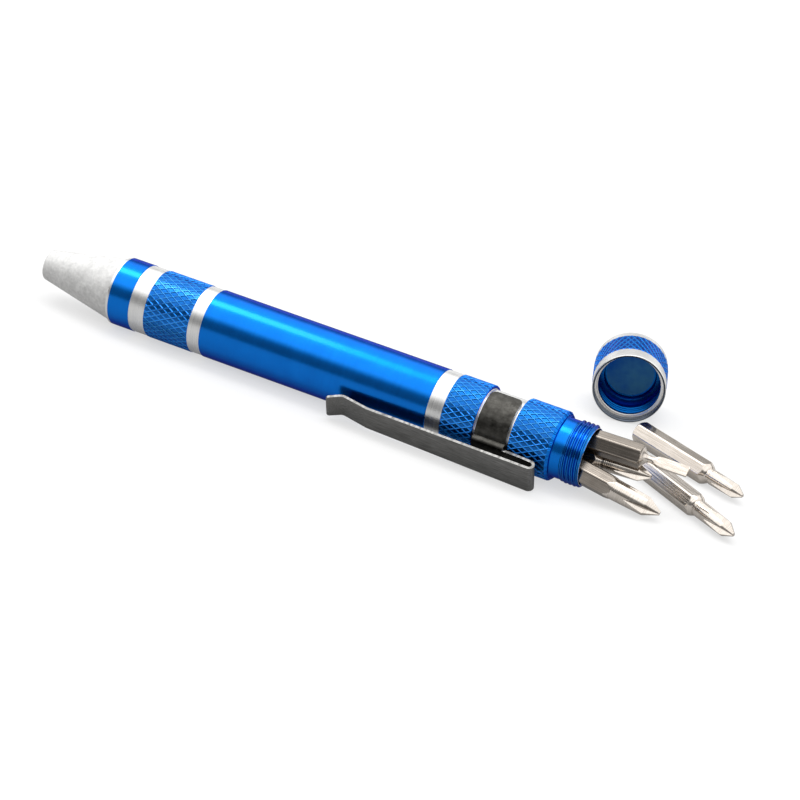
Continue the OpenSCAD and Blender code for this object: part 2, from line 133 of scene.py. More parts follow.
looks = {
    "blue": metalMaterial({
        "name": "blueAnodised", "dark": (0.0, 0.155, 0.63), "light": (0.001, 0.195, 0.76),
        "rough": (0.20, 0.28), "stretch": (9, 0.05, 0.05), "cloudScale": 0.35, "streakShare": 0.5,
        "coat": 0.15, "coatRough": 0.1, "edgeTint": (0.02, 0.18, 0.5), "bump": 0.05, "bumpDepth": 0.02}),
    # the knurl's sunk diamonds: a darker copy of the blue, painted shade in the recesses
    "blueGripShade": metalMaterial({
        "name": "blueKnurlShade", "dark": (0.0, 0.10, 0.41), "light": (0.001, 0.155, 0.56),
        "rough": (0.20, 0.32), "stretch": (2.5, 2.5, 2.5), "cloudScale": 0.5, "streakShare": 0.5,
        "coat": 0.3, "coatRough": 0.12, "edgeTint": (0.02, 0.18, 0.5), "bump": 0.08, "bumpDepth": 0.02}),
    # bores and inner walls: a darker copy of the blue, painted shade
    "blueInsideShade": metalMaterial({
        "name": "blueBoreShade", "dark": (0.0, 0.075, 0.32), "light": (0.001, 0.13, 0.47),
        "rough": (0.22, 0.36), "stretch": (8, 0.05, 0.05), "cloudScale": 0.6, "streakShare": 0.5,
        "coat": 0.06, "coatRough": 0.25, "edgeTint": (0.02, 0.18, 0.5), "bump": 0.12, "bumpDepth": 0.03}),
    # the knurl's ridge tops: a lighter copy of the blue, a painted highlight
    "blueRidgeHighlight": metalMaterial({
        "name": "blueRidgeHighlight", "dark": (0.008, 0.24, 0.72), "light": (0.08, 0.42, 0.92),
        "rough": (0.22, 0.34), "stretch": (1, 1, 1), "cloudScale": 1.2, "streakShare": 0.5,
        "coat": 0.3, "coatRough": 0.12, "bump": 0.05, "bumpDepth": 0.02, "edgeTint": (0.2, 0.45, 0.85)}),
    "blueThread": metalMaterial({
        "name": "blueThread", "dark": (0.0, 0.14, 0.50), "light": (0.001, 0.20, 0.66),
        "rough": (0.12, 0.20), "stretch": (6, 0.1, 0.1), "cloudScale": 0.5, "streakShare": 0.4,
        "coat": 0.3, "coatRough": 0.1, "bump": 0.05, "bumpDepth": 0.02, "edgeTint": (0.02, 0.18, 0.5)}),
    # the floor of the cap's pocket: a darker, blotched blue, painted shade at the bottom of the pocket
    "capFloorShade": metalMaterial({
        "name": "capBottomShade", "dark": (0.0, 0.045, 0.27), "light": (0.05, 0.19, 0.34),
        "rough": (0.26, 0.42), "stretch": (0.4, 0.4, 0.4), "cloudScale": 0.16, "streakShare": 0.25,
        "bump": 0.1, "bumpDepth": 0.03, "edgeTint": (0.2, 0.4, 0.8)}),
    "band": metalMaterial({
        "name": "turnedBand", "dark": (0.70, 0.70, 0.695), "light": (0.90, 0.90, 0.89),
        "rough": (0.24, 0.38), "stretch": (11, 0.06, 0.06), "cloudScale": 0.5, "streakShare": 0.75,
        "bump": 0.22, "bumpDepth": 0.02}),
    "nose": metalMaterial({
        "name": "blastedNose", "dark": (0.58, 0.578, 0.572), "light": (0.87, 0.867, 0.86),
        "rough": (0.68, 0.88), "stretch": (1.7, 1.7, 1.7), "cloudScale": 0.55, "streakShare": 0.45,
        "bump": 0.25, "bumpDepth": 0.05}),
    # the cap's bored mouth: bare metal painted nearly black, painted shade inside the mouth
    "capMouthShade": metalMaterial({
        "name": "boredMouthShade", "dark": (0.05, 0.065, 0.09), "light": (0.14, 0.16, 0.19),
        "rough": (0.22, 0.34), "stretch": (9, 0.1, 0.1), "cloudScale": 0.6, "streakShare": 0.7,
        "bump": 0.25, "bumpDepth": 0.03}),
    "clipArm": metalMaterial({
        "name": "brushedSpring", "dark": (0.105, 0.104, 0.10), "light": (0.27, 0.267, 0.26),
        "rough": (0.30, 0.46), "stretch": (0.35, 9, 9), "cloudScale": 0.3, "streakShare": 0.8,
        "bump": 0.16, "bumpDepth": 0.02}),
    # the ring's spring steel, painted much darker than the arm's: painted shade under the arm
    "clipRing": metalMaterial({
        "name": "shadedSpring", "dark": (0.028, 0.027, 0.024), "light": (0.09, 0.087, 0.08),
        "rough": (0.26, 0.42), "stretch": (1.2, 2.2, 2.2), "cloudScale": 0.9, "streakShare": 0.4,
        "bump": 0.2, "bumpDepth": 0.03}),
    "clipEdge": metalMaterial({
        "name": "shearedEdge", "dark": (0.09, 0.088, 0.084), "light": (0.46, 0.455, 0.44),
        "rough": (0.26, 0.44), "stretch": (1.6, 1.6, 1.6), "cloudScale": 2.6, "streakShare": 0.6,
        "bump": 0.15, "bumpDepth": 0.02}),
    # the clip's bevelled corners: bright steel, a painted highlight
    "clipGlint": metalMaterial({
        "name": "cornerHighlight", "dark": (0.30, 0.295, 0.28), "light": (0.95, 0.94, 0.91),
        "rough": (0.26, 0.40), "stretch": (2.2, 2.2, 2.2), "cloudScale": 3.0, "streakShare": 0.6,
        "bump": 0.1, "bumpDepth": 0.02}),
    "bitFlat": metalMaterial({
        "name": "platedFlat", "dark": (0.46, 0.405, 0.35), "light": (0.80, 0.735, 0.665),
        "rough": (0.10, 0.22), "stretch": (0.22, 7, 7), "cloudScale": 0.35, "streakShare": 0.7,
        "bump": 0.1, "bumpDepth": 0.02}),
    # a darker copy of the plating: painted shade on the bits in the barrel's mouth
    "bitShaded": metalMaterial({
        "name": "platedShaded", "dark": (0.20, 0.175, 0.15), "light": (0.42, 0.375, 0.33),
        "rough": (0.16, 0.28), "stretch": (0.1, 5, 5), "cloudScale": 0.35, "streakShare": 0.6,
        "bump": 0.1, "bumpDepth": 0.03}),
    "bitBrushed": metalMaterial({
        "name": "platedBrushed", "dark": (0.40, 0.355, 0.31), "light": (0.84, 0.78, 0.715),
        "rough": (0.22, 0.34), "stretch": (0.1, 5, 5), "cloudScale": 0.35, "streakShare": 0.85,
        "bump": 0.6, "bumpDepth": 0.04}),
    "bitTurned": metalMaterial({
        "name": "platedTurned", "dark": (0.55, 0.495, 0.44), "light": (0.80, 0.74, 0.675),
        "rough": (0.08, 0.20), "stretch": (7, 0.3, 0.3), "cloudScale": 0.4, "streakShare": 0.7,
        "bump": 0.2, "bumpDepth": 0.03}),
    "magnet": metalMaterial({
        "name": "magnetFace", "dark": (0.34, 0.34, 0.36), "light": (0.52, 0.52, 0.54),
        "rough": (0.28, 0.42), "stretch": (2, 2, 2), "cloudScale": 0.8, "streakShare": 0.5,
        "bump": 0.1, "bumpDepth": 0.02}),
}
print("materials made:", len(looks))


# small helpers for meshes

def keepOwn(bm):
    # keeps each vertex's own place, in millimetres, for the materials
    layer = bm.verts.layers.float_vector.new("own")
    for v in bm.verts:
        v[layer] = v.co.copy()


def finishPiece(bm, name, body, lookNames, place=None, node=None, sharp=32, sheet=False):
    # millimetres to metres, into place, shaded, on its body
    bmesh.ops.remove_doubles(bm, verts=bm.verts[:], dist=merge)
    bmesh.ops.recalc_face_normals(bm, faces=bm.faces[:])
    if not sheet and bm.calc_volume(signed=True) < 0:
        bmesh.ops.reverse_faces(bm, faces=bm.faces[:])  # a thin ring can come out inside out
    for layer in bm.verts.layers.int.values():
        bm.verts.layers.int.remove(layer)
    keepOwn(bm)
    if place is not None:
        bmesh.ops.transform(bm, matrix=place, verts=bm.verts[:])
    bmesh.ops.scale(bm, vec=(mm, mm, mm), verts=bm.verts[:])
    for f in bm.faces:
        f.smooth = True
    for e in bm.edges:
        e.smooth = len(e.link_faces) == 2 and e.calc_face_angle(0) < radians(sharp)
    mesh = bpy.data.meshes.new(name)
    bm.to_mesh(mesh)
    bm.free()
    for lookName in lookNames:
        mesh.materials.append(looks[lookName])
    obj = bpy.data.objects.new(name, mesh)
    bpy.context.scene.collection.objects.link(obj)
    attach(obj, body)
    if node:
        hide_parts(node)
    return obj


def turnProfile(bm, points, steps):
    # a closed solid of revolution about X from points of station and radius
    verts = [bm.verts.new((x, 0, r)) for x, r in points]
    edges = [bm.edges.new((a, b)) for a, b in zip(verts, verts[1:] + verts[:1])]
    bmesh.ops.spin(bm, geom=verts + edges, cent=(0, 0, 0), axis=(1, 0, 0), dvec=(0, 0, 0),
                   angle=tau, steps=steps, use_merge=True, use_duplicate=False)


def loftRings(bm, stations, count):
    # rings of vertices about X, joined by faces
    # a station has x, and then a radius, a radius for each angle, or y and z for each step
    # a radius of 0 closes the end, because finishPiece merges its vertices
    mark = bm.verts.layers.int.new("step")
    turn = tau / count

    def setRing(verts, station):
        x, shape = station
        for v in verts:
            i = v[mark]
            if isinstance(shape, list):
                v.co = (x, *shape[i])
            else:
                r = shape(i * turn) if callable(shape) else shape
                v.co = (x, r * cos(i * turn), r * sin(i * turn))

    ring = bmesh.ops.create_circle(bm, cap_ends=False, segments=count, radius=1)["verts"]
    for i, v in enumerate(ring):
        v[mark] = i
    first = list(dict.fromkeys(e for v in ring for e in v.link_edges))
    setRing(ring, stations[0])
    edges = first
    for station in stations[1:]:
        ring, edges = extrudeOn(bm, edges)
        setRing(ring, station)
    return first, edges


def extrudeOn(bm, edges):
    # extrudes a run of edges, gives back the new vertices and the new run
    made = bmesh.ops.extrude_edge_only(bm, edges=edges)["geom"]
    verts = [g for g in made if isinstance(g, bmesh.types.BMVert)]
    fresh = set(verts)
    made = [g for g in made if isinstance(g, bmesh.types.BMEdge)]
    return verts, [e for e in made if e.verts[0] in fresh and e.verts[1] in fresh]


def paintFaces(bm, index, test):
    for f in bm.faces:
        if test(f.calc_center_median()):
            f.material_index = index


def fromAxis(at):
    return sqrt(at.y ** 2 + at.z ** 2)


def shifted(x, r, moves):
    # points that lie off a station and a radius by each of the moves
    return [(x + along, r + out) for along, out in moves]


def spread(start, end, step):
    # stations from start to end, about step apart
    count = max(1, round(abs(end - start) / step))
    return [start + (end - start) * k / count for k in range(count + 1)]


# barrel

barrel = {
    "radius": 6.5, "bore": 5.3, "bandRadius": 6.4, "underGrip": 6.0, "grooveRadius": 5.8, "neckRadius": 5.55,
    "edge": 0.09, "collarRound": 0.12, "collarLong": 1.5, "highlightStrip": 0.5, "count": 160,
    "fillet": [(0, 0.25), (0.1, 0.07), (0.3, 0)], "threadLap": 0.2,
    "collar": 16.0, "frontBand": 20.9, "frontGrip": 24.1, "gripBand": 33.4, "plain": 35.9, "rearBand": 82.3,
    "midGrip": 85.2, "groove": 91.5, "rearGrip": 98.6, "neck": 106.4, "thread": 108.3, "mouth": 112.1,
}


def barrelProfile(b):
    r, e, c = b["radius"], b["edge"], b["collarRound"]
    nose = [(b["collar"] + b["collarLong"] * c * (1 - sin(a)), r - c * (1 - cos(a)))
            for a in reversed(quarterTurn)]
    lapEnd = b["thread"] + b["threadLap"]
    return [(b["collar"], b["bore"])] + nose + [
        (b["collar"] + b["highlightStrip"], r), (b["frontBand"] - e, r),
        (b["frontBand"], r - e), (b["frontBand"], b["bandRadius"]),
        (b["frontGrip"], b["bandRadius"]), (b["frontGrip"], b["underGrip"]),
        (b["gripBand"], b["underGrip"]), (b["gripBand"], b["bandRadius"]),
        (b["plain"], b["bandRadius"]), (b["plain"], r - e), (b["plain"] + e, r),
        (b["rearBand"] - e, r), (b["rearBand"], r - e), (b["rearBand"], b["bandRadius"]),
        (b["midGrip"], b["bandRadius"]), (b["midGrip"], b["underGrip"]),
        (b["groove"], b["underGrip"]), (b["groove"], b["grooveRadius"]),
        (b["rearGrip"], b["grooveRadius"]), (b["rearGrip"], b["underGrip"]),
        (b["neck"], b["underGrip"]), *shifted(b["neck"], b["neckRadius"], b["fillet"]),
        (lapEnd, b["neckRadius"]), (lapEnd, b["bore"])]


bm = bmesh.new()
turnProfile(bm, barrelProfile(barrel), barrel["count"])
barrelLooks = ["blue", "band", "blueInsideShade"]
bands = [(barrel["frontBand"], barrel["frontGrip"]), (barrel["gripBand"], barrel["plain"]),
         (barrel["rearBand"], barrel["midGrip"]), (barrel["groove"], barrel["rearGrip"])]
for f in bm.faces:
    at = f.calc_center_median()
    away = fromAxis(at)
    # the bore takes the darker blue: painted shade
    if away < barrel["bore"] + near:
        f.material_index = barrelLooks.index("blueInsideShade")
    elif at.x < barrel["collar"] + barrel["highlightStrip"]:
        f.material_index = barrelLooks.index("band")  # bright bare metal at the joint with the nose: a painted highlight line
    elif any(a - tiny < at.x < b + tiny for a, b in bands) and away < barrel["bandRadius"] + near:
        f.material_index = barrelLooks.index("band")
finishPiece(bm, "barrelTube", "barrel", barrelLooks, node="barrel")
print("barrel turned")


# knurled grips

knurl = {"cells": 36, "rowLength": 2.1, "depth": 0.11, "halfTop": 0.045, "slope": 0.13, "wall": 0.55,
         "edge": 0.12, "lastEdge": 0.45, "sharp": 12}
gripLooks = ["blueGripShade", "blueRidgeHighlight", "blue"]


def gripRing(start, end, radius, k, edges):
    # crossing ridges with sunk diamonds between them, cut to length, chamfered and closed to a ring
    bm = bmesh.new()
    rows = ceil((end - start) / k["rowLength"]) + 2  # two to spare for the cuts
    bmesh.ops.create_grid(bm, x_segments=k["cells"], y_segments=rows, size=0.5)
    bmesh.ops.poke(bm, faces=bm.faces[:])
    for v in bm.verts:
        a, x = v.co.x * tau, (start + end) / 2 + v.co.y * rows * k["rowLength"]
        v.co = (x, radius * cos(a), radius * sin(a))
    bmesh.ops.remove_doubles(bm, verts=bm.verts[:], dist=tiny)
    straight = []
    for e in bm.edges:
        p, q = e.verts[0].co, e.verts[1].co
        level = abs(p.x - q.x) < tiny
        upright = abs(p.y - q.y) < tiny and abs(p.z - q.z) < tiny
        if len(e.link_faces) == 2 and (level or upright):
            straight.append(e)
    bmesh.ops.dissolve_edges(bm, edges=straight, use_verts=False)
    bmesh.ops.recalc_face_normals(bm, faces=bm.faces[:])
    if bm.faces[0].normal.dot(Vector((0, *bm.faces[0].calc_center_median().yz))) < 0:
        bmesh.ops.reverse_faces(bm, faces=bm.faces[:])
    floors = bm.faces[:]
    bmesh.ops.inset_individual(bm, faces=floors, thickness=k["halfTop"], use_even_offset=True)
    # every face first takes the lighter ridge blue: a painted highlight on the ridge tops
    for f in bm.faces:
        f.material_index = gripLooks.index("blueRidgeHighlight")
    # the sunk floors and the slopes inset from them take the darker blue: painted shade
    for f in floors:
        f.material_index = gripLooks.index("blueGripShade")
    bmesh.ops.inset_individual(bm, faces=floors, thickness=k["slope"], depth=-k["depth"],
                               use_even_offset=True)
    loops = []
    for at, side, edge in ((start, -1, edges[0]), (end, 1, edges[1])):
        cutX = at - side * edge
        bmesh.ops.bisect_plane(bm, geom=bm.verts[:] + bm.edges[:] + bm.faces[:], dist=onCut,
                               plane_co=(cutX, 0, 0), plane_no=(side, 0, 0), clear_outer=True)
        rim = [e for e in bm.edges if len(e.link_faces) == 1
               and all(abs(v.co.x - cutX) < tiny for v in e.verts)]
        for reach in (radius - edge, radius - k["wall"]):
            verts, rim = extrudeOn(bm, rim)
            for v in verts:
                away = Vector(v.co.yz)
                v.co = (at, *(away.normalized() * min(away.length, reach)))
        loops += rim
    bmesh.ops.bridge_loops(bm, edges=loops)
    paintFaces(bm, gripLooks.index("blue"), lambda at: not start + edges[0] < at.x < end - edges[1])
    return bm


grips = {"gripFront": ("frontGrip", "gripBand", "edge"), "gripMiddle": ("midGrip", "groove", "edge"),
         "gripRear": ("rearGrip", "neck", "lastEdge")}
for name, (start, end, rear) in grips.items():
    ring = gripRing(barrel[start], barrel[end], barrel["radius"], knurl, (knurl["edge"], knurl[rear]))
    finishPiece(ring, name, "barrel", gripLooks, sharp=knurl["sharp"])
print("grips knurled")


# threads

thread = {"pitch": 0.84, "crest": 5.85, "root": 5.40, "power": 1.5, "step": 0.05, "count": 128, "lead": 0.35,
          "endGap": 0.04, "endDrop": 0.05, "mouthBevel": 0.09, "sharp": 40}


def ridge(x, a):
    # 0 at the root to 1 at the crest of a rounded thread
    phase = (x / thread["pitch"] - a / tau) % 1.0
    return (0.5 - 0.5 * cos(tau * phase)) ** thread["power"]


def outsideThread(b, t):
    bm = bmesh.new()
    begin, finish = b["thread"], b["mouth"]

    def reachAt(x):
        fade = min(1.0, (x - begin) / t["lead"], (finish - x) / t["lead"])
        core = b["neckRadius"] + (t["root"] - b["neckRadius"]) * min(1.0, (x - begin) / t["lead"])
        return lambda a: core + (t["crest"] - core) * max(0.0, fade) * ridge(x, a)

    outer = [(x, reachAt(x)) for x in spread(begin, finish - t["endGap"], t["step"])]
    mouth = [(finish, t["root"] - t["endDrop"]), (finish, b["bore"] + t["mouthBevel"]),
             (finish - t["mouthBevel"], b["bore"])]
    inner = [(begin, b["bore"])]
    first, last = loftRings(bm, outer + mouth + inner, t["count"])
    bmesh.ops.bridge_loops(bm, edges=first + last)
    return bm


bm = outsideThread(barrel, thread)
threadLooks = ["blueThread", "blueInsideShade", "band"]
for f in bm.faces:
    at = f.calc_center_median()
    # the bore takes the darker blue: painted shade
    if fromAxis(at) < barrel["bore"] + near:
        f.material_index = threadLooks.index("blueInsideShade")
    elif at.x > barrel["mouth"] - near:
        f.material_index = threadLooks.index("band")
finishPiece(bm, "barrelThread", "barrel", threadLooks, sharp=thread["sharp"])
print("thread cut")


# nose cone

noseCone = {"length": 16.0, "tip": 3.0, "base": 6.15, "round": 0.4, "baseBevel": 0.05,
            "plug": 5.27, "plugEnd": 24.0, "socketFlats": 4.12, "socketDepth": 9.0, "leadIn": 0.3,
            "magnetPocket": 1.93, "pocketEnd": 12.0, "step": 1.0, "count": 96}


def hexReach(flats, a):
    turn = (a + pi / 6) % (pi / 3) - pi / 6
    return flats / 2 / cos(turn)


def socketReach(grow):
    return lambda a: hexReach(noseCone["socketFlats"] + grow, a)


bm = bmesh.new()
n = noseCone
slant = (n["base"] - n["tip"]) / (n["length"] - n["round"])
edge = [(n["round"] * (1 - sin(a)), n["tip"] - n["round"] * (1 - cos(a))) for a in quarterTurn]
plug = [(n["plugEnd"], 0), (n["plugEnd"], n["plug"]), (n["length"], n["plug"]),
        (n["length"], n["base"] - n["baseBevel"])]
cone = [(x, n["tip"] + slant * (x - n["round"])) for x in spread(n["length"], n["round"], n["step"])[:-1]]
socket = [(0, socketReach(2 * n["leadIn"])), (n["leadIn"], socketReach(0)),
          (n["socketDepth"], socketReach(0)), (n["socketDepth"], n["magnetPocket"]),
          (n["pocketEnd"], n["magnetPocket"]), (n["pocketEnd"], 0)]
loftRings(bm, plug + cone + edge + socket, n["count"])
finishPiece(bm, "noseShell", "barrel", ["nose"], node="nose_cone")
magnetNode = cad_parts["socket_magnet"]
magnetNode.data.materials.clear()
magnetNode.data.materials.append(looks["magnet"])
print("nose turned")


# cap

cap = {"at": (107.2, 30.9, 0.5), "yaw": -71.0, "count": 128,
       "length": 11.0, "band": 3.0, "grip": 6.1, "radius": 7.0, "bandRadius": 6.9, "underGrip": 6.5,
       "bore": 5.9, "counterbore": 6.45, "bareDepth": 1.35, "threadDepth": 5.9, "pocket": 4.85, "depth": 7.3,
       "bevel": 0.14, "round": 0.55, "edge": 0.12, "stepDown": [(-0.05, 0.2), (-0.2, -0.02)],
       "threadStart": 1.7, "threadEnd": 0.6, "threadHeight": 0.3, "threadMean": 0.75, "lead": 0.4,
       "runOut": 0.9, "wallGap": 0.02, "wallReach": 0.15,
       "relief": [(0.3, 0.12), (0, 0.1)], "pocketEdge": [(0, 0.1), (-0.1, 0)],
       "floorRound": [(0.3, 0), (0.08, -0.1), (0, -0.35)],
       "dishDepth": 0.35, "dishRadius": 4.4, "dishRings": (4.0, 3.2, 2.4, 1.6, 0.8, 0)}
capPlace = Matrix.Translation(cap["at"]) @ Matrix.Rotation(radians(cap["yaw"]), 4, "Z")

bm = bmesh.new()
c = cap
gripBack = -c["band"] - c["grip"]
back = [(-c["length"] + c["round"] * (1 - cos(a)), c["bandRadius"] - c["round"] * (1 - sin(a)))
        for a in quarterTurn]
outside = [(-c["length"], 0)] + back + [
    (gripBack, c["bandRadius"]), (gripBack, c["underGrip"]), (-c["band"], c["underGrip"]),
    (-c["band"], c["bandRadius"]), (-c["edge"], c["bandRadius"]), (0, c["bandRadius"] - c["edge"])]
lip = [(0, c["counterbore"] + c["bevel"]), (-c["bevel"], c["counterbore"]),
       (-c["bareDepth"], c["counterbore"]), *shifted(-c["bareDepth"], c["bore"], c["stepDown"])]


def capWall(x):
    begin, finish = -c["threadStart"], -c["threadDepth"] + c["runOut"]
    fade = max(0.0, min(1.0, (begin - x) / c["lead"], (x - finish) / c["lead"]))
    return lambda a: c["bore"] + c["wallGap"] + c["threadHeight"] * fade * (ridge(x, a) - c["threadMean"])


wallEnd = -c["threadDepth"] + c["threadEnd"]
wall = [(x, capWall(x)) for x in spread(-c["threadStart"], wallEnd, thread["step"])]
pocket = (shifted(-c["threadDepth"], c["bore"], c["relief"])
          + shifted(-c["threadDepth"], c["pocket"], c["pocketEdge"])
          + shifted(-c["depth"], c["pocket"], c["floorRound"]))
dish = [(-c["depth"] - c["dishDepth"] * (1 - (r / c["dishRadius"]) ** 2), r) for r in c["dishRings"]]
loftRings(bm, outside + lip + wall + pocket + dish, c["count"])
capLooks = ["blue", "band", "blueInsideShade", "capMouthShade", "capFloorShade"]
floorBack, stepEnd = -c["depth"] - c["dishDepth"] - near, lip[-1][0]
for f in bm.faces:
    at = f.calc_center_median()
    away = fromAxis(at)
    # the pocket floor takes the darker blotched blue: painted shade
    if floorBack < at.x < -c["depth"] + near and away < c["pocket"]:
        f.material_index = capLooks.index("capFloorShade")
    # the cap's threaded wall takes the darker blue: painted shade
    elif floorBack < at.x < stepEnd and away < c["bore"] + c["wallReach"]:
        f.material_index = capLooks.index("blueInsideShade")
    # the mouth's front face, bevel and counterbore take the dark colour: painted shade
    elif at.x > -c["bareDepth"] + near and away < c["bandRadius"] - c["edge"]:
        f.material_index = capLooks.index("capMouthShade")
    elif at.x > -c["band"] - tiny or at.x < gripBack + tiny:
        f.material_index = capLooks.index("band")
finishPiece(bm, "capShell", "cap", capLooks, place=capPlace, node="cap")
ring = gripRing(gripBack, -c["band"], c["radius"], knurl, (knurl["edge"], knurl["edge"]))
finishPiece(ring, "capGrip", "cap", gripLooks, place=capPlace, sharp=knurl["sharp"])
print("cap made")


# pocket clip

clip = {"thick": 0.5, "roll": 22.4, "ringStart": 92.0, "ringEnd": 98.1, "ringRadius": 6.1, "wrap": 108.0,
        "bridgeHalf": 2.0, "bridgeHeight": 6.85, "bendRound": 0.35, "footRound": 0.25, "footGap": 0.12,
        "arcStep": 4, "endRound": 1.15, "endStops": (0, 0.02, 0.08, 0.18, 0.34, 0.56, 0.84),
        "tabEnd": 104.15, "tabHeight": 8.1, "tabStep": 0.9, "flare": 0.8,
        "foldRadius": 0.8, "foldHeight": 8.9, "slit": 5, "foldStep": 9,
        "half": 2.9, "tipHalf": 2.35, "armHeight": 9.7,
        "slope": (72.2, 9.0), "slopeRound": 4.5, "slopeSteps": 7,
        "grip": (66.8, 8.0), "gripRound": 1.5, "gripSteps": 9,
        "tip": (64.2, 9.6), "tipRound": 0.6, "tipStops": (1.0, 0.6, 0.42, 0.27, 0.15, 0.06, 0.015, 0),
        "edgeRound": 0.11, "edgeSteps": 2, "edgeAngle": 50, "sharp": 35, "legShare": 0.49}
clipPlace = Matrix.Rotation(radians(90 + clip["roll"]), 4, "X")


def roundCorner(before, corner, after, radius, steps=5):
    # points of an arc that rounds the corner of a path
    p, c, q = Vector(before), Vector(corner), Vector(after)
    toP, toQ = (p - c).normalized(), (q - c).normalized()
    half = acos(max(-1, min(1, toP.dot(toQ)))) / 2
    reach = min(radius / tan(half), (p - c).length * clip["legShare"], (q - c).length * clip["legShare"])
    centre = c + (toP + toQ).normalized() * (reach / cos(half))
    start, end = c + toP * reach - centre, c + toQ * reach - centre
    begin = atan2(start.y, start.x)
    swing = (atan2(end.y, end.x) - begin + pi) % tau - pi
    return [(centre.x + start.length * cos(begin + swing * k / steps),
             centre.y + start.length * sin(begin + swing * k / steps)) for k in range(steps + 1)]


def cornerHalf(half, fromEnd, radius):
    # half width of a strip whose end corners are rounded
    if fromEnd >= radius:
        return half
    return half - radius + sqrt(max(0.0, radius ** 2 - (radius - fromEnd) ** 2))


def stripObject(bm, name, body, node, face):
    stripLooks = [face, "clipEdge", "clipGlint"]
    obj = finishPiece(bm, name, body, stripLooks,
                      place=clipPlace, node=node, sharp=clip["sharp"], sheet=True)
    wall = obj.modifiers.new("thickness", "SOLIDIFY")
    wall.thickness = clip["thick"] * mm
    wall.offset = 0
    wall.use_even_offset = True
    wall.material_offset_rim = stripLooks.index("clipEdge")
    soft = obj.modifiers.new("edges", "BEVEL")
    soft.width = clip["edgeRound"] * mm
    soft.segments = clip["edgeSteps"]
    # the bevels take the bright corner steel: a painted highlight
    soft.material = stripLooks.index("clipGlint")
    soft.limit_method = "ANGLE"
    soft.angle_limit = radians(clip["edgeAngle"])


def sweepPath(bm, path):
    # joins points into an open path and gives back its vertices and edges
    verts = [bm.verts.new(p) for p in path]
    return verts, [bm.edges.new((a, b)) for a, b in zip(verts, verts[1:])]


# ring: its path runs round the barrel, over the bridge and round the other side
bm = bmesh.new()
k = clip
footAngle = asin(k["bridgeHalf"] / k["ringRadius"])
foot = (k["bridgeHalf"], k["ringRadius"] * cos(footAngle))
top = (k["bridgeHalf"], k["bridgeHeight"])
# close together where the corners are rounded, then evenly
wrapAngle = radians(k["wrap"])
turns = [wrapAngle - d / k["ringRadius"] for d in k["endStops"]]
turns += spread(wrapAngle - k["endRound"] / k["ringRadius"], footAngle + k["footGap"], radians(k["arcStep"]))
arc = [(k["ringRadius"] * sin(a), k["ringRadius"] * cos(a)) for a in turns]
half = (arc + roundCorner(arc[-1], foot, top, k["footRound"])
        + roundCorner(foot, top, (0, k["bridgeHeight"]), k["bendRound"]))
section = half + [(-y, z) for y, z in reversed(half)]
centreX, ringHalf = (k["ringStart"] + k["ringEnd"]) / 2, (k["ringEnd"] - k["ringStart"]) / 2


def ringReach(y, z):
    fromEnd = (wrapAngle - abs(atan2(y, z))) * k["ringRadius"]
    return cornerHalf(ringHalf, fromEnd, k["endRound"])


verts, edges = sweepPath(bm, [(centreX - ringReach(y, z), y, z) for y, z in section])
verts, edges = extrudeOn(bm, edges)
for v in verts:
    v.co.x = 2 * centreX - v.co.x


def onBridge(at):
    level = abs(at.z - k["bridgeHeight"]) < tiny
    return level and abs(at.x - k["ringEnd"]) < tiny and abs(at.y) < k["bridgeHalf"]


bridge = [e for e in bm.edges if all(onBridge(v.co) for v in e.verts)]
inner = k["bridgeHalf"] - k["bendRound"]
for x in spread(k["ringEnd"], k["tabEnd"], k["tabStep"])[1:]:
    share = (x - k["ringEnd"]) / (k["tabEnd"] - k["ringEnd"])
    verts, bridge = extrudeOn(bm, bridge)
    for v in verts:
        side = 1 if v.co.y > 0 else -1
        v.co = (x, side * (inner + (k["half"] - inner) * share ** k["flare"]),
                k["bridgeHeight"] + (k["tabHeight"] - k["bridgeHeight"]) * share)
# the ring takes the darker steel: painted shade under the arm
stripObject(bm, "clipRing", "clip", "clip_ring", "clipRing")

# arm: from the fold along the barrel to the gripping bend and the turned-up tip
bm = bmesh.new()
fold = [(k["tabEnd"] + k["foldRadius"] * sin(a), k["foldHeight"] - k["foldRadius"] * cos(a))
        for a in spread(radians(k["slit"]), pi, radians(k["foldStep"]))]
start = (k["tabEnd"], k["armHeight"])
mid = ((start[0] + k["slope"][0]) / 2, (start[1] + k["slope"][1]) / 2)
path = (fold + [mid] + roundCorner(start, k["slope"], k["grip"], k["slopeRound"], k["slopeSteps"])
        + roundCorner(k["slope"], k["grip"], k["tip"], k["gripRound"], k["gripSteps"]))
bend, tip = Vector(path[-1]), Vector(k["tip"])
toTip = (tip - bend).normalized()
path += [tuple(tip - toTip * d) for d in k["tipStops"] if d < (tip - bend).length]


def armHalf(x, z):
    share = max(0.0, min(1.0, (k["tabEnd"] - x) / (k["tabEnd"] - k["tip"][0])))
    fromEnd = (Vector((x, z)) - tip).length
    return cornerHalf(k["half"] + (k["tipHalf"] - k["half"]) * share, fromEnd, k["tipRound"])


verts, edges = sweepPath(bm, [(x, -armHalf(x, z), z) for x, z in path])
verts, edges = extrudeOn(bm, edges)
for v in verts:
    v.co.y = -v.co.y
stripObject(bm, "clipArm", "clip_arm", "clip_arm", "clipArm")
print("clip bent")


# hex bits

